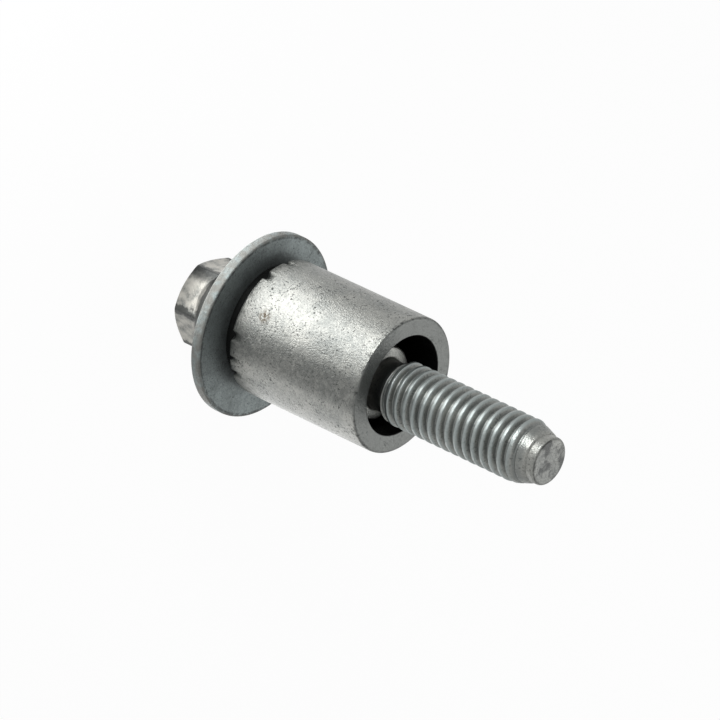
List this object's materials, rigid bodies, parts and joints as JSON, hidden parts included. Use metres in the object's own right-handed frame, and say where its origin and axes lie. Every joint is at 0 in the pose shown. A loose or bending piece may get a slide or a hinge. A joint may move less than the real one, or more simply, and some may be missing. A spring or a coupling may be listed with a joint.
{
  "type": "valve cover bolt",
  "caption": "Hex flange bolt with a plain washer and a loose tubular spacer sleeve round its shank, as used to clamp an engine's valve cover.",
  "frame": {"origin": "centre of the end face of the bolt's head, which it stands on", "axes": "+Z along the bolt's axis from the head to the tip; +X towards the side to which the loose sleeve is shifted"},
  "size_m": [0.0174, 0.0174, 0.0411],
  "materials": {
    "bolt_steel": "matt zinc-flake grey",
    "washer_steel": "matt zinc-flake grey",
    "sleeve_steel": "matt zinc-flake grey"
  },
  "bodies": {
    "washer": {"washer": "washer_steel"},
    "bolt": {"bolt": "bolt_steel"},
    "sleeve": {"spacer_sleeve": "sleeve_steel"}
  },
  "joints": [
    {"name": "bolt_spin", "type": "hinge", "parent": "washer", "child": "bolt", "pos_m": [0, 0, 0], "axis": [0, 0, 1], "continuous": true},
    {"name": "sleeve_float", "type": "slide", "parent": "washer", "child": "sleeve", "axis": [0, 0, 1], "range_m": [0, 0.033]}
  ]
}
